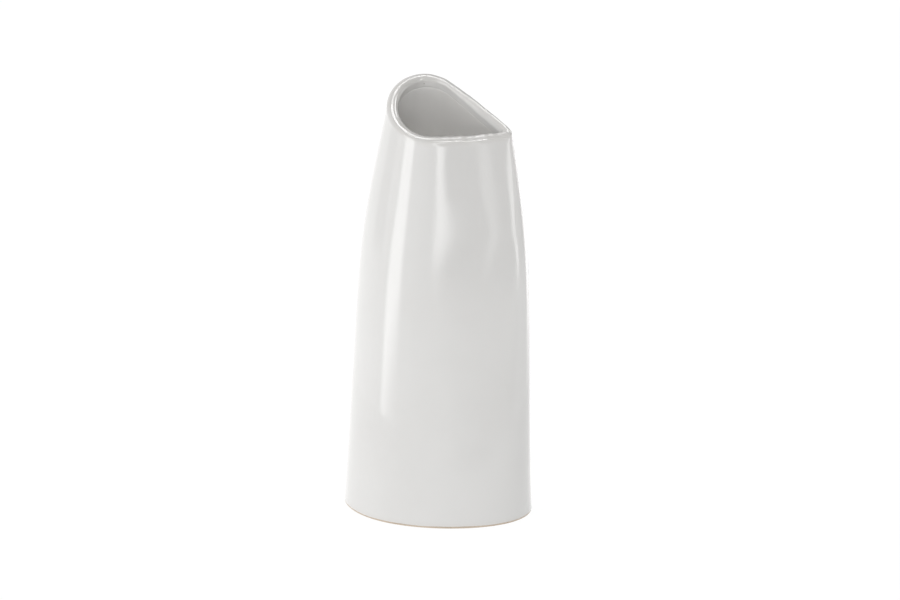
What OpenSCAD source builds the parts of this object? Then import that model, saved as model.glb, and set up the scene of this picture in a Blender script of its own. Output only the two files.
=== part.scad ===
// Flower vase with a slanted, full-round rim.
// One slip-cast clay body carries two glaze coats. The outer coat starts just
// above the bare foot, covers the wall and rolls over the rim. The liner coat
// covers the inside wall and the floor and meets the outer coat below the rim.
//
// Frame: +Z up, origin at the middle of the foot, z = 0 on the standing surface.
// The round lobe of the plan looks along -X and the narrow nose along +X.
// Every horizontal section is one smooth egg: a lobe circle and a nose circle,
// blended into a single convex curve. The lower wall has a slight straight
// taper. Above the shoulder the taper steepens and the nose gets sharper.

/* [Foot] */
// Length of the foot along X, before the small flare, mm
foot_len = 116.2; // [110:0.2:122]
// Radius of the round lobe side at the foot, mm
lobe_r = 43.6; // [41:0.2:47]
// Radius of the nose side at the foot, mm
nose_r = 27.2; // [25:0.2:32]
// Outward flare of the wall at the very bottom, mm
flare = 0.5; // [0:0.1:1.5]
// Height over which the flare fades away, mm
flare_h = 7.2; // [5:0.2:12]
// Rounding of the outer bottom edge, mm
foot_edge_r = 1.0; // [0.6:0.1:1.2]
// Width of the standing ring under the foot, mm
foot_ring_w = 8; // [5:0.5:12]
// Depth of the recess under the floor, mm
recess_h = 2.5; // [1:0.25:4]

/* [Wall taper] */
// Inward lean of the lobe end, mm per mm of height
lobe_end_lean = 0.040; // [0.02:0.002:0.06]
// Inward lean of the nose end, mm per mm of height
nose_end_lean = 0.039; // [0.02:0.001:0.06]
// Loss of lobe radius per mm of height
lobe_r_loss = 0.050; // [0.03:0.002:0.06]
// Loss of nose radius per mm of height
nose_r_loss = 0.100; // [0.06:0.002:0.12]

/* [Shoulder] */
// Height of the shoulder where the taper steepens, mm
shoulder_z = 170.4; // [162:0.2:180]
// Softness of the shoulder bend, mm
shoulder_soft = 14; // [8:0.5:18]
// Extra inward lean of the lobe end above the shoulder
lobe_end_fall = 0.152; // [0.1:0.002:0.16]
// Extra inward lean of the nose end above the shoulder
nose_end_fall = 0.153; // [0.1:0.001:0.16]
// Extra loss of lobe radius above the shoulder
lobe_r_fall = 0.090; // [0.06:0.002:0.11]
// Extra loss of nose radius above the shoulder
nose_r_fall = 0.120; // [0.08:0.002:0.16]

/* [Rim] */
// Height of the rim's crest plane over the middle of the foot, mm
rim_z = 246.3; // [235:0.1:252]
// Rise of the rim plane towards the lobe end, mm per mm
rim_rise_lobe = 0.278; // [0:0.002:0.3]
// Rise of the rim plane towards the back, +Y, mm per mm
rim_rise_back = 0.647; // [0:0.001:0.66]
// Smallest outside radius at the nose, mm
nose_r_min = 3; // [2.6:0.2:6]
// Smallest inside radius at the nose, mm
nose_r_min_in = 1.2; // [1:0.1:3]

/* [Wall and floor] */
// Thickness of the fired clay wall, mm
wall_t = 6.2; // [4:0.1:6.6]
// Thickness of the clay floor, mm
floor_t = 7; // [5:0.5:10]
// Fillet between the inside wall and the floor, mm
floor_fillet = 11; // [6:0.5:13]

/* [Glaze] */
// Thickness of each glaze coat, mm
glaze_t = 0.35; // [0.3:0.05:0.5]
// Height above the standing surface where the outer coat starts, mm
glaze_z = 1.3; // [1.3:0.1:4]
// Depth inside the rim where the outer coat meets the liner coat, mm
glaze_join = 4; // [2:0.5:8]

/* [Section blend] */
// Blend between the lobe and nose circles at the foot, mm
blend_foot = 10; // [6:0.5:12]
// Blend between the lobe and nose circles near the rim, mm
blend_rim = 1; // [0.8:0.1:2]

/* [Smoothness] */
// Points around each section
around = 64; // [48:4:68]
// Rows of the outer wall
rows_out = 20; // [16:1:22]
// Rows of the inner wall
rows_in = 13; // [10:1:15]
// Rows over the full-round rim
rows_lip = 6; // [4:2:8]

/* [Hidden] */

clay_col = [0.78, 0.68, 0.56];
glaze_col = [0.95, 0.95, 0.93];
liner_col = [0.88, 0.88, 0.86];

blend_h = 235;                     // height at which the blend is blend_rim
nose_soft = 2.7;                   // softness of the nose radius's lower limit
bunch = 41;                        // degrees by which points bunch at the nose

half_len = foot_len / 2;
rim_r = wall_t / 2 + glaze_t;      // outside radius of the full-round rim
clay_out = glaze_t;                // clay outside, in from the glazed outside
clay_in = glaze_t + wall_t;        // clay inside
liner_in = 2 * glaze_t + wall_t;   // liner coat's free surface
floor_z = recess_h + floor_t;      // clay floor
liner_z = floor_z + glaze_t;       // liner coat on the floor

// smooth ramp: 0 below zero, the value itself above it
function ramp(u, w) = u > 30 * w ? u : w * ln(1 + exp(u / w));
// height gained above the shoulder
function above(z) = ramp(z - shoulder_z, shoulder_soft) - ramp(-shoulder_z, shoulder_soft);

// The two circles of the section at height z, set in by d from the outer face:
// [lobe centre x, nose centre x, lobe radius, nose radius, blend]
function circles(z, d) =
    let (a = above(z),
         f = flare * exp(-max(z, 0) / flare_h),
         lobe_end = -half_len + lobe_end_lean * z + lobe_end_fall * a - f + d,
         nose_end = half_len - nose_end_lean * z - nose_end_fall * a + f - d,
         lr = lobe_r - lobe_r_loss * z - lobe_r_fall * a + f - d,
         nr_raw = nose_r - nose_r_loss * z - nose_r_fall * a + f,
         nr_out = nose_r_min + ramp(nr_raw - nose_r_min, nose_soft),
         nr = nose_r_min_in + ramp(nr_out - d - nose_r_min_in, 0.9 * min(1, 0.3 + d / 3)))
    [lobe_end + lr, nose_end - nr, lr, nr,
     blend_foot * pow(blend_rim / blend_foot, max(z, 0) / blend_h)];

// distance from the axis to the tangent line whose normal points along t,
// blended between the two circles, and its derivative
function reach(s, t) =
    let (hl = s[2] + s[0] * cos(t), hn = s[3] + s[1] * cos(t), q = (hl - hn) / s[4])
    max(hl, hn) + s[4] * ln(1 + exp(-min(40, abs(q))));
function turn(s, t) =
    let (hl = s[2] + s[0] * cos(t), hn = s[3] + s[1] * cos(t), q = (hl - hn) / s[4],
         w = 1 / (1 + exp(-max(-40, min(40, q)))))
    -sin(t) * (w * s[0] + (1 - w) * s[1]);

// direction of the normal where the ray at polar angle p leaves the section,
// found by halving the interval
function normal_at(s, p, lo, hi, n) =
    let (t = (lo + hi) / 2)
    n == 0 ? t :
    turn(s, t) * cos(t - p) + reach(s, t) * sin(t - p) < 0
        ? normal_at(s, p, t, hi, n - 1)
        : normal_at(s, p, lo, t, n - 1);

// point of the section at polar angle p
function sect(z, d, p) =
    let (s = circles(z, d), t = normal_at(s, p, p - 88, p + 88, 15),
         rho = reach(s, t) / cos(t - p))
    [rho * cos(p), rho * sin(p), z];

// height of the rim's crest at polar angle p, found by repeated substitution
function crest(p, z = rim_z, n = 8) =
    n == 0 ? z :
    let (c = sect(z, rim_r, p))
    crest(p, rim_z - rim_rise_lobe * c[0] + rim_rise_back * c[1], n - 1);

steps = [for (i = [0:around - 1]) i];
angles = [for (i = steps) 360 * i / around - bunch * sin(360 * i / around)];
rim_base = [for (p = angles) crest(p) - rim_r];

// rings of points, one per polar angle
function ring_z(z, d) = [for (i = steps) sect(z, d, angles[i])];
function ring_v(z0, v, d) = [for (i = steps) sect(z0 + v * (rim_base[i] - z0), d, angles[i])];
function ring_drop(drop, d) = [for (i = steps) sect(rim_base[i] - drop, d, angles[i])];
// row on the full-round rim: a is 0 outside, 90 on the crest and 180 inside
function ring_lip(a, inset) =
    [for (i = steps)
        let (c = sect(rim_base[i], inset + (rim_r - inset) * (1 - cos(a)), angles[i]))
        [c[0], c[1], rim_base[i] + (rim_r - inset) * sin(a)]];

// groups of rings
function outer_rows(d) = [for (i = [1:rows_out]) ring_v(glaze_z, pow(i / rows_out, 1.1), d)];
function lip_rows(inset) = [for (i = [1:rows_lip]) ring_lip(180 * i / rows_lip, inset)];
// inner wall, from the coats' joint down to the top of the floor fillet
function inner_rows(d) =
    [for (k = [0:rows_in])
        [for (i = steps)
            let (low = floor_z + floor_fillet, high = rim_base[i] - glaze_join)
            sect(low + (1 - k / rows_in) * (high - low), d, angles[i])]];
function fillet_rows(d, z0, r) =
    [for (a = [22.5:22.5:90]) ring_z(z0 + r * (1 - sin(a)), d + r * (1 - cos(a)))];
function edge_rows(r, d) =
    [for (a = [90:-30:0]) ring_z(r * (1 - sin(a)), d + r * (1 - cos(a)))];

function rev(v) = [for (i = [len(v) - 1:-1:0]) v[i]];
function grid(n, loop) =
    [for (j = [0:n - (loop ? 1 : 2)], i = steps)
        let (a = j * around, b = ((j + 1) % n) * around, k = (i + 1) % around)
        each [[a + i, b + i, b + k], [a + i, b + k, a + k]]];

// solid between a stack of rings, closed by a flat face at each end
module stack_solid(rings) {
    n = len(rings);
    polyhedron(
        points = [for (r = rings) each r],
        faces = concat(
            grid(n, false),
            [[for (i = steps) i]],
            [[for (i = rev(steps)) (n - 1) * around + i]]),
        convexity = 8);
}

// solid whose rings run right round its thickness and back to the first
module loop_solid(rings) {
    polyhedron(points = [for (r = rings) each r], faces = grid(len(rings), true), convexity = 8);
}

// fired clay: recess, foot ring, wall, full-round rim, inside wall and floor
module clay_body() {
    color(clay_col)
    stack_solid(concat(
        [ring_z(recess_h, clay_out + foot_ring_w + 1)],
        [ring_z(0, clay_out + foot_ring_w)],
        edge_rows(foot_edge_r, clay_out),
        [ring_z(glaze_z, clay_out)],
        outer_rows(clay_out),
        lip_rows(clay_out),
        inner_rows(clay_in),
        fillet_rows(clay_in, floor_z, floor_fillet)));
}

// outer coat: a skin on the wall that rolls over the rim
module outer_glaze() {
    color(glaze_col)
    loop_solid(concat(
        [ring_z(glaze_z, clay_out)],
        [ring_z(glaze_z + 0.15, 0.1)],
        [ring_z(glaze_z + 0.6, 0)],
        outer_rows(0),
        lip_rows(0),
        [ring_drop(glaze_join, liner_in)],
        [ring_drop(glaze_join, clay_in)],
        rev(lip_rows(clay_out)),
        rev(outer_rows(clay_out))));
}

// liner coat: a skin on the inside wall and the floor
module inner_glaze() {
    color(liner_col)
    stack_solid(concat(
        rev(fillet_rows(liner_in, liner_z, floor_fillet - glaze_t)),
        rev(inner_rows(liner_in)),
        inner_rows(clay_in),
        fillet_rows(clay_in, floor_z, floor_fillet)));
}

clay_body();
outer_glaze();
inner_glaze();
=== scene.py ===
import math
import bpy
import numpy as np
from mathutils import Matrix, Vector


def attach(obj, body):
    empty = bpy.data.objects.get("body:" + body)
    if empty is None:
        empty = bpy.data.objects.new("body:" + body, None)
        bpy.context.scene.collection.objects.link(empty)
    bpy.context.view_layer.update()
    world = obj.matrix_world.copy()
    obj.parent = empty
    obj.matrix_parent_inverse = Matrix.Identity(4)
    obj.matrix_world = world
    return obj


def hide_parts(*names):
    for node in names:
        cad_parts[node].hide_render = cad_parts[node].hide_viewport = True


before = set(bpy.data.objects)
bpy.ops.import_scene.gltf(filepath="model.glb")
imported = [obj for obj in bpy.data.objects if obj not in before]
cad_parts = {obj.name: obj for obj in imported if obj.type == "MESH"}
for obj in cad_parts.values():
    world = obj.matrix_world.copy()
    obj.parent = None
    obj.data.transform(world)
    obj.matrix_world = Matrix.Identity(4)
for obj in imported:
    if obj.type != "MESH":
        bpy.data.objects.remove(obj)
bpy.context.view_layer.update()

# ---------------------------------------------------------------- the form
# The same section rule as the CAD part, in millimetres. Every horizontal
# section is one smooth egg: a lobe circle and a nose circle, blended.
FOOT_LEN, LOBE_R, NOSE_R = 116.2, 43.6, 27.2
FLARE, FLARE_H = 0.5, 7.2
EDGE_R, RING_W, RECESS = 1.0, 8.0, 2.5
LOBE_LEAN, NOSE_LEAN, LOBE_LOSS, NOSE_LOSS = 0.040, 0.039, 0.050, 0.100
SHOULDER, SOFT = 170.4, 14.0
LOBE_FALL, NOSE_FALL, LOBE_R_FALL, NOSE_R_FALL = 0.152, 0.153, 0.090, 0.120
RIM_Z, RISE_LOBE, RISE_BACK = 246.3, 0.278, 0.647
NOSE_MIN, NOSE_MIN_IN, NOSE_SOFT = 3.0, 1.2, 2.7
WALL, FLOOR_T, FILLET = 6.2, 7.0, 11.0
GLAZE, GLAZE_Z, JOIN = 0.35, 1.3, 4.0
BLEND_FOOT, BLEND_RIM, BLEND_H = 10.0, 1.0, 235.0
BUNCH = math.radians(41)

RIM_R = WALL / 2 + GLAZE
CLAY_OUT = GLAZE
CLAY_IN = GLAZE + WALL
LINER_IN = 2 * GLAZE + WALL
FLOOR_Z = RECESS + FLOOR_T
LINER_Z = FLOOR_Z + GLAZE

AROUND = 320
U = np.arange(AROUND) * 2 * math.pi / AROUND
PHI = U - BUNCH * np.sin(U)


def ramp(u, w):
    return w * np.logaddexp(0, u / w)


def circles(z, d):
    a = ramp(z - SHOULDER, SOFT) - ramp(-SHOULDER, SOFT)
    f = FLARE * np.exp(-np.maximum(z, 0) / FLARE_H)
    lobe_end = -FOOT_LEN / 2 + LOBE_LEAN * z + LOBE_FALL * a - f + d
    nose_end = FOOT_LEN / 2 - NOSE_LEAN * z - NOSE_FALL * a + f - d
    lr = LOBE_R - LOBE_LOSS * z - LOBE_R_FALL * a + f - d
    raw = NOSE_R - NOSE_LOSS * z - NOSE_R_FALL * a + f
    out = NOSE_MIN + ramp(raw - NOSE_MIN, NOSE_SOFT)
    nr = NOSE_MIN_IN + ramp(out - d - NOSE_MIN_IN,
                            0.9 * np.minimum(1, 0.3 + np.maximum(d, 0) / 3))
    b = BLEND_FOOT * (BLEND_RIM / BLEND_FOOT) ** (np.clip(z, 0, 400) / BLEND_H)
    return lobe_end + lr, nose_end - nr, lr, nr, b


def sect(z, d, ph=PHI):
    """x, y of the section at height z, set in by d, at the polar angles ph."""
    z = np.asarray(z, float)
    d = np.asarray(d, float)
    cl, cn, lr, nr, b = [v + 0 * ph for v in circles(z, d)]
    lo = ph - math.radians(88) + 0 * cl
    hi = ph + math.radians(88) + 0 * cl

    def reach(t):
        c = np.cos(t)
        h1, h2 = lr + cl * c, nr + cn * c
        q = np.clip((h1 - h2) / b, -40, 40)
        w = 1 / (1 + np.exp(-q))
        h = np.maximum(h1, h2) + b * np.log1p(np.exp(-np.abs(q)))
        return h, -np.sin(t) * (w * cl + (1 - w) * cn)

    for _ in range(22):
        t = (lo + hi) / 2
        h, hp = reach(t)
        up = hp * np.cos(t - ph) + h * np.sin(t - ph) < 0
        lo = np.where(up, t, lo)
        hi = np.where(up, hi, t)
    t = (lo + hi) / 2
    rho = reach(t)[0] / np.cos(t - ph)
    return rho * np.cos(ph), rho * np.sin(ph)


def crest_height():
    z = np.full(AROUND, RIM_Z)
    for _ in range(10):
        x, y = sect(z, RIM_R)
        z = RIM_Z - RISE_LOBE * x + RISE_BACK * y
    return z


# Slow unevenness of a hand-finished slip casting, as sums of waves.
def waves(terms):
    def f(u, z):
        s = 0.0
        for amp, k, m, p in terms:
            s = s + amp * np.cos(k * u + m * z / 100.0 + p)
        return s
    return f


WALL_WAVE = waves([
    (0.030, 3, 1.7, 0.4), (0.020, 4, -2.9, 2.1), (0.011, 5, 3.8, 4.4),
    (0.006, 7, -4.1, 1.3), (0.004, 8, 5.2, 3.7), (0.003, 10, 2.2, 5.5),
    (0.0025, 11, -6.3, 0.9), (0.0018, 13, 7.1, 2.8), (0.0012, 16, 8.4, 4.9)])
RIM_WAVE = waves([
    (0.050, 3, 0, 1.0), (0.045, 5, 0, 3.3), (0.040, 8, 0, 0.2),
    (0.035, 13, 0, 2.4), (0.028, 19, 0, 5.1), (0.020, 27, 0, 4.0),
    (0.014, 36, 0, 1.9)])
LINE_WAVE = waves([
    (0.10, 4, 0, 0.7), (0.07, 9, 0, 2.9), (0.05, 15, 0, 4.6),
    (0.035, 23, 0, 1.5), (0.025, 34, 0, 3.8)])

RIM_BASE = crest_height() - RIM_R + 1.4 * RIM_WAVE(U, 0)


def ring(z, d):
    z = np.asarray(z, float) + 0 * U
    x, y = sect(z, d)
    return np.stack([x, y, z], 1)


def smooth(v, a, b):
    t = np.clip((v - a) / (b - a), 0, 1)
    return t * t * (3 - 2 * t)


def outer_row(v, d, wave):
    z = GLAZE_Z + v ** 1.1 * (RIM_BASE - GLAZE_Z)
    w = 0.0
    if wave:
        w = WALL_WAVE(U, z) * smooth(z, 4, 30) * smooth(RIM_BASE - z, 0, 14)
        w = w - 0.02 * np.exp(-((z - 2.8) / 1.5) ** 2)      # glaze bead at the foot
    return ring(z, d + w)


def lip_row(a, inset, wave):
    r = RIM_R - inset
    if wave:
        r = r + 0.9 * RIM_WAVE(U + 1.7, 0) * math.sin(a) ** 2
    x, y = sect(RIM_BASE, inset + (RIM_R - inset) - r * np.cos(a))
    return np.stack([x, y, RIM_BASE + r * math.sin(a)], 1)


def inner_row(s, d, wave):
    low, high = FLOOR_Z + FILLET, RIM_BASE - JOIN
    z = low + (1 - s) * (high - low)
    w = 0.0
    if wave:
        w = -1.5 * WALL_WAVE(U + 2.0, z + 40) * smooth(RIM_BASE - z, JOIN, 22) * smooth(z, 22, 40)
    return ring(z, d + w)


def fillet_rows(d, z0, r, n):
    out = []
    for i in range(1, n + 1):
        a = math.pi / 2 * i / n
        out.append(ring(z0 + r * (1 - math.sin(a)), d + r * (1 - math.cos(a))))
    return out


def disc_rows(outline, shares, sag=0.0):
    """Rings from an outline towards its centre, with a shallow dish."""
    c = outline.mean(0)
    out = []
    for s in shares:
        r = c + (outline - c) * s
        r[:, 2] += sag * (1 - s * s)
        out.append(r)
    return out, c + np.array([0, 0, sag])


# Rows shared by the clay and the hidden faces of the coats on it.
HID_OUT = [i / 34 for i in range(1, 35)]
HID_LIP = [math.pi * i / 12 for i in range(1, 13)]
HID_IN = [i / 24 for i in range(0, 25)]


def build(name, rings, start=None, end=None, loop=False):
    """Closed quad mesh from a stack of rings; start and end are pole points."""
    n = len(rings)
    verts = np.concatenate(rings) / 1000.0
    k = np.arange(AROUND)
    k1 = (k + 1) % AROUND
    faces = []
    for j in range(n if loop else n - 1):
        a, b = j * AROUND, ((j + 1) % n) * AROUND
        faces += np.stack([a + k, a + k1, b + k1, b + k], 1).tolist()
    extra = []
    if start is not None:
        c = len(verts)
        extra.append(start)
        faces += np.stack([np.full(AROUND, c), k1, k], 1).tolist()
    if end is not None:
        c = len(verts) + len(extra)
        extra.append(end)
        a = (n - 1) * AROUND
        faces += np.stack([np.full(AROUND, c), a + k, a + k1], 1).tolist()
    if extra:
        verts = np.concatenate([verts, np.array(extra) / 1000.0])
    mesh = bpy.data.meshes.new(name)
    mesh.from_pydata(verts.tolist(), [], faces)
    mesh.validate()
    mesh.polygons.foreach_set("use_smooth", [True] * len(mesh.polygons))
    mesh.update()
    ob = bpy.data.objects.new(name, mesh)
    bpy.context.scene.collection.objects.link(ob)
    return ob


def clay_mesh():
    foot_in = CLAY_OUT + RING_W
    recess = ring(RECESS, foot_in + 2.4)
    shares = [0.04, 0.10, 0.18, 0.28, 0.40, 0.52, 0.64, 0.76, 0.86, 0.94]
    dish, pole = disc_rows(recess, shares, 0.25)
    rings = list(dish) + [recess]
    # inner side of the standing ring, with a soft foot and a soft arris
    for z, d in [(2.47, 1.75), (2.36, 1.30), (2.12, 0.98), (1.75, 0.80), (1.20, 0.62),
                 (0.70, 0.44), (0.42, 0.30), (0.22, 0.08), (0.08, -0.22), (0.0, -0.62)]:
        rings.append(ring(z, foot_in + d))
    for s in [0.12, 0.3, 0.5, 0.7, 0.88, 0.97]:
        rings.append(ring(0, (1 - s) * (foot_in - 0.62) + s * (CLAY_OUT + EDGE_R)))
    for i in range(0, 9):
        a = math.pi / 2 * (1 - i / 8)
        rings.append(ring(EDGE_R * (1 - math.sin(a)), CLAY_OUT + EDGE_R * (1 - math.cos(a))))
    rings.append(ring(GLAZE_Z + LINE_WAVE(U, 0) * 0.6, CLAY_OUT))
    rings += [outer_row(v, CLAY_OUT, False) for v in HID_OUT]
    rings += [lip_row(a, CLAY_OUT, False) for a in HID_LIP]
    rings += [inner_row(s, CLAY_IN, False) for s in HID_IN]
    rings += fillet_rows(CLAY_IN, FLOOR_Z, FILLET, 8)
    inner, pole2 = disc_rows(rings[-1], [0.94, 0.84, 0.7, 0.55, 0.4, 0.26, 0.14, 0.05])
    return build("vase_clay", rings + inner, start=pole, end=pole2)


def outer_mesh():
    z0 = GLAZE_Z + LINE_WAVE(U, 0) * 0.6
    rings = [ring(z0, CLAY_OUT)]
    for dz, d in [(0.02, 0.24), (0.07, 0.14), (0.16, 0.05), (0.30, -0.01), (0.50, -0.035)]:
        rings.append(ring(z0 + dz, d))
    n = 118
    rings += [outer_row(i / n, 0.0, True) for i in range(2, n + 1)]
    m = 30
    rings += [lip_row(math.pi * i / m, 0.0, True) for i in range(1, m + 1)]
    for s in [0.12, 0.3, 0.5, 0.7, 0.85, 0.95]:
        rings.append(ring(RIM_BASE - JOIN * s, LINER_IN))
    rings.append(ring(RIM_BASE - JOIN, LINER_IN - 0.04))
    rings.append(ring(RIM_BASE - JOIN, CLAY_IN))
    rings += [lip_row(a, CLAY_OUT, False) for a in HID_LIP[::-1]]
    rings += [outer_row(v, CLAY_OUT, False) for v in HID_OUT[::-1]]
    return build("vase_outer_glaze", rings, loop=True)


def liner_mesh():
    hid = fillet_rows(CLAY_IN, FLOOR_Z, FILLET, 8)
    under, pole = disc_rows(hid[-1], [0.05, 0.14, 0.26, 0.4, 0.55, 0.7, 0.84, 0.94])
    rings = under + hid[::-1] + [inner_row(s, CLAY_IN, False) for s in HID_IN[::-1]]
    rings.append(ring(RIM_BASE - JOIN, LINER_IN - 0.04))
    rings.append(ring(RIM_BASE - JOIN - 0.35, LINER_IN))
    n = 84
    rings += [inner_row(i / n, LINER_IN, True) for i in range(1, n + 1)]
    rings += fillet_rows(LINER_IN, LINER_Z, FILLET - GLAZE, 14)
    top, pole2 = disc_rows(rings[-1], [0.96, 0.9, 0.82, 0.72, 0.6, 0.47, 0.34, 0.22, 0.12, 0.05])
    return build("vase_liner_glaze", rings + top, start=pole, end=pole2)


clay = clay_mesh()
outer = outer_mesh()
liner = liner_mesh()


# ---------------------------------------------------------------- node helper
class Tree:
    def __init__(self, tree):
        self.t = tree
        tree.nodes.clear()

    def put(self, kind, **kw):
        n = self.t.nodes.new(kind)
        for k, v in kw.items():
            setattr(n, k, v)
        return n

    def feed(self, socket, v):
        if isinstance(v, bpy.types.NodeSocket):
            self.t.links.new(v, socket)
        else:
            socket.default_value = v

    def math(self, op, a, b=None, c=None, clamp=False):
        n = self.put("ShaderNodeMath", operation=op, use_clamp=clamp)
        for i, v in enumerate((a, b, c)):
            if v is not None:
                self.feed(n.inputs[i], v)
        return n.outputs[0]

    def add(self, *v):
        out = v[0]
        for x in v[1:]:
            out = self.math("ADD", out, x)
        return out

    def mul(self, *v):
        out = v[0]
        for x in v[1:]:
            out = self.math("MULTIPLY", out, x)
        return out

    def step(self, v, a, b, lo=0.0, hi=1.0):
        """smooth step of v from lo at a to hi at b"""
        n = self.put("ShaderNodeMapRange", interpolation_type="SMOOTHSTEP")
        n.clamp = True
        self.feed(n.inputs["Value"], v)
        n.inputs["From Min"].default_value = a
        n.inputs["From Max"].default_value = b
        n.inputs["To Min"].default_value = lo
        n.inputs["To Max"].default_value = hi
        return n.outputs["Result"]

    def win(self, v, a, b, soft):
        """1 between a and b, with soft edges"""
        return self.mul(self.step(v, a - soft, a + soft), self.step(v, b - soft, b + soft, 1.0, 0.0))

    def mix(self, f, a, b):
        n = self.put("ShaderNodeMix", data_type="RGBA")
        self.feed(n.inputs[0], f)
        self.feed(n.inputs[6], a)
        self.feed(n.inputs[7], b)
        return n.outputs[2]

    def noise(self, co, scale, detail=2.0, rough=0.5, distortion=0.0):
        n = self.put("ShaderNodeTexNoise")
        self.t.links.new(co, n.inputs["Vector"])
        n.inputs["Scale"].default_value = scale
        n.inputs["Detail"].default_value = detail
        n.inputs["Roughness"].default_value = rough
        n.inputs["Distortion"].default_value = distortion
        return n.outputs["Fac"]


def principled(name):
    m = bpy.data.materials.new(name)
    m.use_nodes = True
    t = Tree(m.node_tree)
    out = t.put("ShaderNodeOutputMaterial")
    p = t.put("ShaderNodeBsdfPrincipled")
    t.t.links.new(p.outputs[0], out.inputs["Surface"])
    return m, t, p


def rgb(r, g, b):
    return (r, g, b, 1.0)


def glaze_material(name, tone_a, tone_b, thin, rough_lo, rough_hi, speck, pinholes, deep_painted_light=None, inside_painted_shade=None):
    m, t, p = principled(name)
    co = t.put("ShaderNodeTexCoord").outputs["Object"]
    sep = t.put("ShaderNodeSeparateXYZ")
    t.t.links.new(co, sep.inputs[0])
    x, y, z = sep.outputs
    cloud = t.noise(co, 19.0, 3.0, 0.55)
    cloud = t.step(cloud, 0.32, 0.68)
    fine = t.noise(co, 120.0, 3.0, 0.6)
    fine = t.step(fine, 0.3, 0.7)
    col = t.mix(cloud, tone_a, tone_b)
    col = t.mix(t.mul(fine, 0.25), col, tone_b)
    # height under the rim's crest plane, in metres; the coat thins on the crest
    under = t.add(z, t.mul(x, RISE_LOBE), t.mul(y, -RISE_BACK), -RIM_Z / 1000.0)
    crest = t.step(under, -0.0034, -0.0002)
    if inside_painted_shade is not None:        # painted shade: where the coat faces inwards on the inner side of the lip, its colour is darkened to a greyer tone
        g = t.put("ShaderNodeNewGeometry")
        plan = t.put("ShaderNodeVectorMath", operation="MULTIPLY")
        t.t.links.new(g.outputs["Normal"], plan.inputs[0])
        plan.inputs[1].default_value = (1.0, 1.0, 0.0)
        facing = t.put("ShaderNodeVectorMath", operation="DOT_PRODUCT")
        t.t.links.new(plan.outputs["Vector"], facing.inputs[0])
        t.t.links.new(co, facing.inputs[1])
        col = t.mix(t.step(facing.outputs["Value"], -0.010, -0.024), col, inside_painted_shade)
    if deep_painted_light is not None:          # painted light: the liner's colour is made lighter lower down inside the vase, offsetting the shade there
        col = t.mix(t.step(under, -0.052, -0.006, 1.0, 0.0), col, deep_painted_light)
    col = t.mix(t.mul(crest, t.add(0.35, t.mul(fine, 0.25))), col, thin)
    # the coat runs down and pools a little just above its lower edge
    low = t.step(z, 0.0016, 0.0048, 1.0, 0.0)
    col = t.mix(t.mul(low, 0.30), col, thin)
    # sparse, tiny dark specks fired into the coat
    v = t.put("ShaderNodeTexVoronoi", feature="F1", distance="EUCLIDEAN")
    t.t.links.new(co, v.inputs["Vector"])
    v.inputs["Scale"].default_value = 92.0
    v.inputs["Randomness"].default_value = 1.0
    sepc = t.put("ShaderNodeSeparateColor")
    t.t.links.new(v.outputs["Color"], sepc.inputs[0])
    rare = t.step(sepc.outputs[0], 0.86, 0.88)
    size = t.add(0.010, t.mul(sepc.outputs[1], 0.016))
    dot = t.math("LESS_THAN", v.outputs["Distance"], size)
    col = t.mix(t.mul(dot, rare, speck), col, rgb(0.36, 0.33, 0.28))
    pit = 0.0
    for px, py, pz, pr in pinholes:
        vec = t.put("ShaderNodeVectorMath", operation="DISTANCE")
        t.t.links.new(co, vec.inputs[0])
        vec.inputs[1].default_value = (px / 1000.0, py / 1000.0, pz / 1000.0)
        hole = t.step(vec.outputs["Value"], pr * 0.45 / 1000.0, pr / 1000.0, 1.0, 0.0)
        pit = hole if isinstance(pit, float) else t.math("MAXIMUM", pit, hole)
    if not isinstance(pit, float):
        col = t.mix(t.mul(pit, 0.75), col, rgb(0.30, 0.27, 0.23))
    t.feed(p.inputs["Base Color"], col)
    r = t.add(rough_lo, t.mul(cloud, (rough_hi - rough_lo) * 0.6), t.mul(fine, (rough_hi - rough_lo) * 0.4))
    t.feed(p.inputs["Roughness"], r)
    p.inputs["IOR"].default_value = 1.5
    peel = t.noise(co, 260.0, 2.0, 0.5)
    height = t.add(t.mul(peel, 1.0), t.mul(t.noise(co, 70.0, 1.0, 0.5), 2.2))
    if not isinstance(pit, float):
        height = t.add(height, t.mul(pit, -12.0))
    bump = t.put("ShaderNodeBump")
    bump.inputs["Strength"].default_value = 1.0
    bump.inputs["Distance"].default_value = 0.0000045
    t.feed(bump.inputs["Height"], height)
    t.t.links.new(bump.outputs[0], p.inputs["Normal"])
    return m


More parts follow.
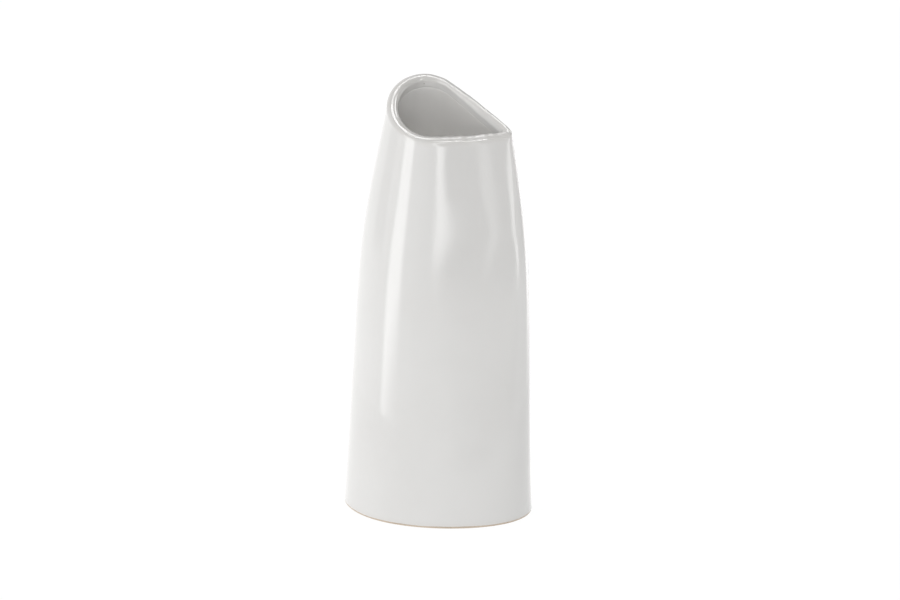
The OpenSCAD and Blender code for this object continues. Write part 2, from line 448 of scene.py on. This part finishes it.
def clay_material():
    m, t, p = principled("fired_clay")
    co = t.put("ShaderNodeTexCoord").outputs["Object"]
    sep = t.put("ShaderNodeSeparateXYZ")
    t.t.links.new(co, sep.inputs[0])
    z = sep.outputs[2]
    body = t.step(t.noise(co, 45.0, 4.0, 0.6), 0.3, 0.7)
    grain = t.step(t.noise(co, 900.0, 2.0, 0.7), 0.35, 0.65)
    col = t.mix(body, rgb(0.50, 0.405, 0.315), rgb(0.60, 0.50, 0.40))
    col = t.mix(t.mul(grain, 0.35), col, rgb(0.68, 0.60, 0.50))
    v = t.put("ShaderNodeTexVoronoi", feature="F1")
    t.t.links.new(co, v.inputs["Vector"])
    v.inputs["Scale"].default_value = 420.0
    sepc = t.put("ShaderNodeSeparateColor")
    t.t.links.new(v.outputs["Color"], sepc.inputs[0])
    grog = t.mul(t.math("LESS_THAN", v.outputs["Distance"], 0.22), t.step(sepc.outputs[0], 0.78, 0.82))
    col = t.mix(t.mul(grog, 0.6), col, rgb(0.30, 0.22, 0.16))
    # the standing ring is scuffed grey where it has stood on tables
    wear = t.mul(t.step(z, 0.00002, 0.0004, 1.0, 0.0), t.step(t.noise(co, 160.0, 4.0, 0.7), 0.45, 0.62))
    col = t.mix(t.mul(wear, 0.55), col, rgb(0.36, 0.34, 0.31))
    t.feed(p.inputs["Base Color"], col)
    t.feed(p.inputs["Roughness"], t.add(0.72, t.mul(body, 0.14), t.mul(wear, -0.18)))
    p.inputs["IOR"].default_value = 1.5
    p.inputs["Specular IOR Level"].default_value = 0.3
    bump = t.put("ShaderNodeBump")
    bump.inputs["Strength"].default_value = 0.8
    bump.inputs["Distance"].default_value = 0.00006
    t.feed(bump.inputs["Height"], t.add(grain, t.mul(grog, -0.8), t.mul(body, 0.6)))
    t.t.links.new(bump.outputs[0], p.inputs["Normal"])
    return m


clay.data.materials.append(clay_material())
# the outer coat's last colour is painted shade for the inward-facing side of the lip
outer.data.materials.append(glaze_material(
    "white_glaze_coat", rgb(0.706, 0.699, 0.685), rgb(0.727, 0.721, 0.708), rgb(0.660, 0.642, 0.615),
    0.055, 0.085, 0.22, [(-18.5, 14.2, 257.2, 0.55)], inside_painted_shade=rgb(0.640, 0.632, 0.615)))
# the liner's last colour is painted light, used lower down inside the vase where it lies in shade
liner.data.materials.append(glaze_material(
    "liner_glaze_coat", rgb(0.700, 0.690, 0.670), rgb(0.720, 0.710, 0.692), rgb(0.690, 0.680, 0.660),
    0.10, 0.16, 0.30, [(-22.0, 20.0, 231.0, 0.4), (4.0, 15.0, 238.0, 0.35)],
    deep_painted_light=rgb(0.938, 0.922, 0.896)))

for ob, node, slot in ((clay, "clay_body", "bare_clay"),
                       (outer, "outer_glaze", "white_glaze"),
                       (liner, "inner_glaze", "liner_glaze")):
    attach(ob, "root")
    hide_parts(node)


# ---------------------------------------------------------------- floor
def floor_disc():
    rows, n = [], 96
    for r in [0.0, 0.15, 0.3, 0.6, 1.2, 2.5, 5.0, 10.0, 20.0]:
        a = np.arange(n) * 2 * math.pi / n
        rows.append(np.stack([r * np.cos(a), r * np.sin(a), np.zeros(n)], 1))
    verts = [[0, 0, 0]] + np.concatenate(rows[1:]).tolist()
    faces = [[0, 1 + i, 1 + (i + 1) % n] for i in range(n)]
    for j in range(len(rows) - 2):
        a, b = 1 + j * n, 1 + (j + 1) * n
        faces += [[a + i, b + i, b + (i + 1) % n, a + (i + 1) % n] for i in range(n)]
    mesh = bpy.data.meshes.new("floor")
    mesh.from_pydata(verts, [], faces)
    mesh.update()
    ob = bpy.data.objects.new("floor", mesh)
    bpy.context.scene.collection.objects.link(ob)
    m = bpy.data.materials.new("pale_floor")
    m.use_nodes = True
    t = Tree(m.node_tree)
    out = t.put("ShaderNodeOutputMaterial")
    dif = t.put("ShaderNodeBsdfDiffuse")
    dif.inputs["Color"].default_value = rgb(0.07, 0.07, 0.07)
    em = t.put("ShaderNodeEmission")
    em.inputs["Color"].default_value = rgb(1.0, 1.0, 1.0)
    em.inputs["Strength"].default_value = 0.955
    add = t.put("ShaderNodeAddShader")
    t.t.links.new(dif.outputs[0], add.inputs[0])
    t.t.links.new(em.outputs[0], add.inputs[1])
    t.t.links.new(add.outputs[0], out.inputs["Surface"])
    mesh.materials.append(m)
    ob.visible_glossy = False
    ob.visible_diffuse = False
    return ob


floor = floor_disc()


def table_card():
    """The bright table close round the foot, seen only in the glaze."""
    n, rows = 96, [0.06, 0.12, 0.2, 0.3]
    a = np.arange(n) * 2 * math.pi / n
    verts = [[0, 0, -0.0004]]
    for r in rows:
        verts += np.stack([r * np.cos(a), r * np.sin(a), np.full(n, -0.0004)], 1).tolist()
    faces = [[0, 1 + i, 1 + (i + 1) % n] for i in range(n)]
    for j in range(len(rows) - 1):
        p, q = 1 + j * n, 1 + (j + 1) * n
        faces += [[p + i, q + i, q + (i + 1) % n, p + (i + 1) % n] for i in range(n)]
    mesh = bpy.data.meshes.new("table_card")
    mesh.from_pydata(verts, [], faces)
    mesh.update()
    ob = bpy.data.objects.new("table_card", mesh)
    bpy.context.scene.collection.objects.link(ob)
    m = bpy.data.materials.new("table_glow")
    m.use_nodes = True
    t = Tree(m.node_tree)
    em = t.put("ShaderNodeEmission")
    em.inputs["Strength"].default_value = 1.4
    out = t.put("ShaderNodeOutputMaterial")
    t.t.links.new(em.outputs[0], out.inputs["Surface"])
    mesh.materials.append(m)
    ob.visible_camera = False
    ob.visible_diffuse = False
    ob.visible_shadow = False
    return ob


table_card()

# ---------------------------------------------------------------- camera
AZ, EL, ROLL, DIST = math.radians(14.436), math.radians(17.0), math.radians(1.503), 1.430
target = Vector((0.0, 0.0, 0.1254))
back = Vector((math.sin(AZ) * math.cos(EL), -math.cos(AZ) * math.cos(EL), math.sin(EL)))
right = Vector((math.cos(AZ), math.sin(AZ), 0.0))
up = back.cross(right)
cx = right * math.cos(ROLL) + up * math.sin(ROLL)
cy = -right * math.sin(ROLL) + up * math.cos(ROLL)
pos = target + back * DIST
cam = bpy.data.cameras.new("camera")
cam.sensor_fit = "HORIZONTAL"
cam.sensor_width = 36.0
cam.lens = 95.24
cam.shift_x = 0.00817
cam.shift_y = 0.00718
cam.clip_start = 0.05
cam.clip_end = 100.0
cam_ob = bpy.data.objects.new("camera", cam)
bpy.context.scene.collection.objects.link(cam_ob)
cam_ob.matrix_world = Matrix(((cx.x, cy.x, back.x, pos.x),
                              (cx.y, cy.y, back.y, pos.y),
                              (cx.z, cy.z, back.z, pos.z),
                              (0, 0, 0, 1)))
bpy.context.scene.camera = cam_ob

# ---------------------------------------------------------------- studio light
# A white tent, brighter on the left, with tall soft strips that show in the
# glaze. Angles are in degrees: azimuth from the camera's side, + to the right.
world = bpy.data.worlds.new("studio")
bpy.context.scene.world = world
world.use_nodes = True
t = Tree(world.node_tree)
co = t.put("ShaderNodeTexCoord").outputs["Generated"]
sep = t.put("ShaderNodeSeparateXYZ")
t.t.links.new(co, sep.inputs[0])
dx, dy, dz = sep.outputs
side = t.add(t.mul(dx, math.cos(AZ)), t.mul(dy, math.sin(AZ)))       # + right
front = t.add(t.mul(dx, math.sin(AZ)), t.mul(dy, -math.cos(AZ)))     # + towards the camera
az = t.mul(t.math("ARCTAN2", side, front), 180 / math.pi)
el = t.mul(t.math("ARCSINE", dz), 180 / math.pi)

# soft light on the clay and glaze: brighter from the left, with a front key
soft = t.add(0.83, t.mul(side, -0.39), t.mul(front, -0.17))
key = t.mul(t.win(az, -36.0, 36.0, 9.0), t.win(el, 14.0, 42.0, 5.0))
under_key = t.mul(t.win(az, -36.0, 36.0, 9.0), t.step(el, 9.0, 15.0, 1.0, 0.0))
soft = t.add(t.mul(soft, t.step(el, 45.0, 70.0, 1.0, 0.93)), t.mul(key, 1.3), t.mul(under_key, -0.4))
sky = t.step(el, -1.0, 1.0)
ground = t.add(1.12, t.mul(side, -0.20))
soft = t.mul(t.add(t.mul(sky, soft), t.mul(t.math("SUBTRACT", 1.0, sky), ground)), 0.9)

# what the glaze mirrors: the table below, the tent with its dark right half
# above, and tall soft strips; each strip leans a little with height
low_el = t.math("MINIMUM", el, 0.0)


def blend(f, a, b):
    return t.add(t.mul(t.math("SUBTRACT", 1.0, f), a), t.mul(f, b))


dark = t.mul(t.step(t.add(az, t.mul(low_el, -1.3)), 20.5, 23.5), t.step(az, 97.5, 100.5, 1.0, 0.0),
             t.step(el, -10.5, -4.0))
dim = t.step(az, 38.0, 46.0)
dip = t.mul(t.win(az, -103.0, -74.0, 4.0), t.step(el, -10.0, -6.0))
mirror = blend(t.step(az, 10.0, 38.0), 1.6, 1.05)
mirror = blend(t.step(az, 55.0, 78.0), mirror, 1.75)
mirror = blend(dark, mirror, blend(dim, 0.0, 1.1))
mirror = blend(dip, mirror, 0.8)
mirror = blend(t.step(az, -105.0, -150.0), mirror, 1.45)
mirror = blend(t.step(az, 100.0, 140.0), mirror, 1.35)
high = t.step(el, 5.0, 12.0)
mirror = blend(high, mirror, blend(t.step(az, -10.0, 30.0), 0.7, 0.2))
strips = [
    # left edge, right edge, their lean, softness, brightness, fades in over (el), slope of the fade, top
    (-50.5, -27.0, 0.8, 0.5, 5.0, 3.9, -14.7, -9.7, 0.15, 30.0),
    (19.4, 22.4, 1.35, 1.35, 0.6, 4.0, -8.5, -2.5, 0.0, 5.0),
    (29.0, 30.6, 0.7, 0.7, 0.5, 1.7, -6.5, -1.0, 0.0, 5.0),
    (35.6, 40.4, -2.1, -3.0, 1.0, 4.0, -11.0, -3.5, 0.0, 6.0),
    (80.0, 98.0, 0.0, 0.0, 3.0, 3.2, -1.0, 1.5, 0.0, 20.0),
    (95.0, 148.0, -1.8, 0.0, 4.0, 3.2, -18.5, -11.0, 0.0, 20.0),
]
for lo, hi, lean_lo, lean_hi, edge, power, el0, el1, slope, top in strips:
    v_lo = t.add(az, t.mul(low_el, -lean_lo))
    v_hi = t.add(az, t.mul(low_el, -lean_hi))
    band = t.mul(t.step(v_lo, lo - edge, lo + edge), t.step(v_hi, hi - edge, hi + edge, 1.0, 0.0))
    reach_el = t.add(el, t.mul(t.add(az, -(lo + hi) / 2), -slope)) if slope else el
    mirror = t.add(mirror, t.mul(band, t.step(reach_el, el0, el1), t.step(el, top - 2, top + 2, 1.0, 0.0), power))
# lamps overhead: they show only as small lights on the rounded rim
lamps = [
    # azimuth range and softness, height range and softness, brightness
    (20.6, 23.3, 0.5, 21.0, 36.0, 3.0, 9.0),
    (24.8, 26.0, 0.35, 21.0, 38.0, 3.0, 18.0),
    (26.6, 27.4, 0.22, 20.0, 36.0, 3.0, 18.0),
    (27.7, 28.5, 0.22, 14.0, 29.0, 3.0, 18.0),
    (-33.0, -23.0, 3.0, 58.0, 67.0, 3.0, 8.0),
    (26.0, 38.0, 3.0, 59.0, 67.0, 3.0, 3.0),
    (100.0, 135.0, 8.0, 44.0, 60.0, 4.0, 9.0),
]
for a0, a1, sa, e0, e1, se, power in lamps:
    mirror = t.add(mirror, t.mul(t.win(az, a0, a1, sa), t.win(el, e0, e1, se), power))
mirror = t.add(mirror, t.mul(t.step(el, 74.0, 80.0), 9.0))

lp = t.put("ShaderNodeLightPath")
glossy = t.math("MULTIPLY", lp.outputs["Is Glossy Ray"], 1.0)
camera_ray = lp.outputs["Is Camera Ray"]
lit = t.add(t.mul(t.math("SUBTRACT", 1.0, glossy), soft), t.mul(glossy, mirror))
level = t.add(t.mul(t.math("SUBTRACT", 1.0, camera_ray), lit), t.mul(camera_ray, 1.0))
bg = t.put("ShaderNodeBackground")
bg.inputs["Color"].default_value = rgb(1.0, 1.0, 1.0)
t.feed(bg.inputs["Strength"], level)
out = t.put("ShaderNodeOutputWorld")
t.t.links.new(bg.outputs[0], out.inputs["Surface"])
world.cycles.sampling_method = "NONE"

bpy.context.scene.view_settings.view_transform = "Standard"
bpy.context.scene.view_settings.look = "None"
bpy.context.scene.view_settings.exposure = 0.0
bpy.context.scene.view_settings.gamma = 1.0
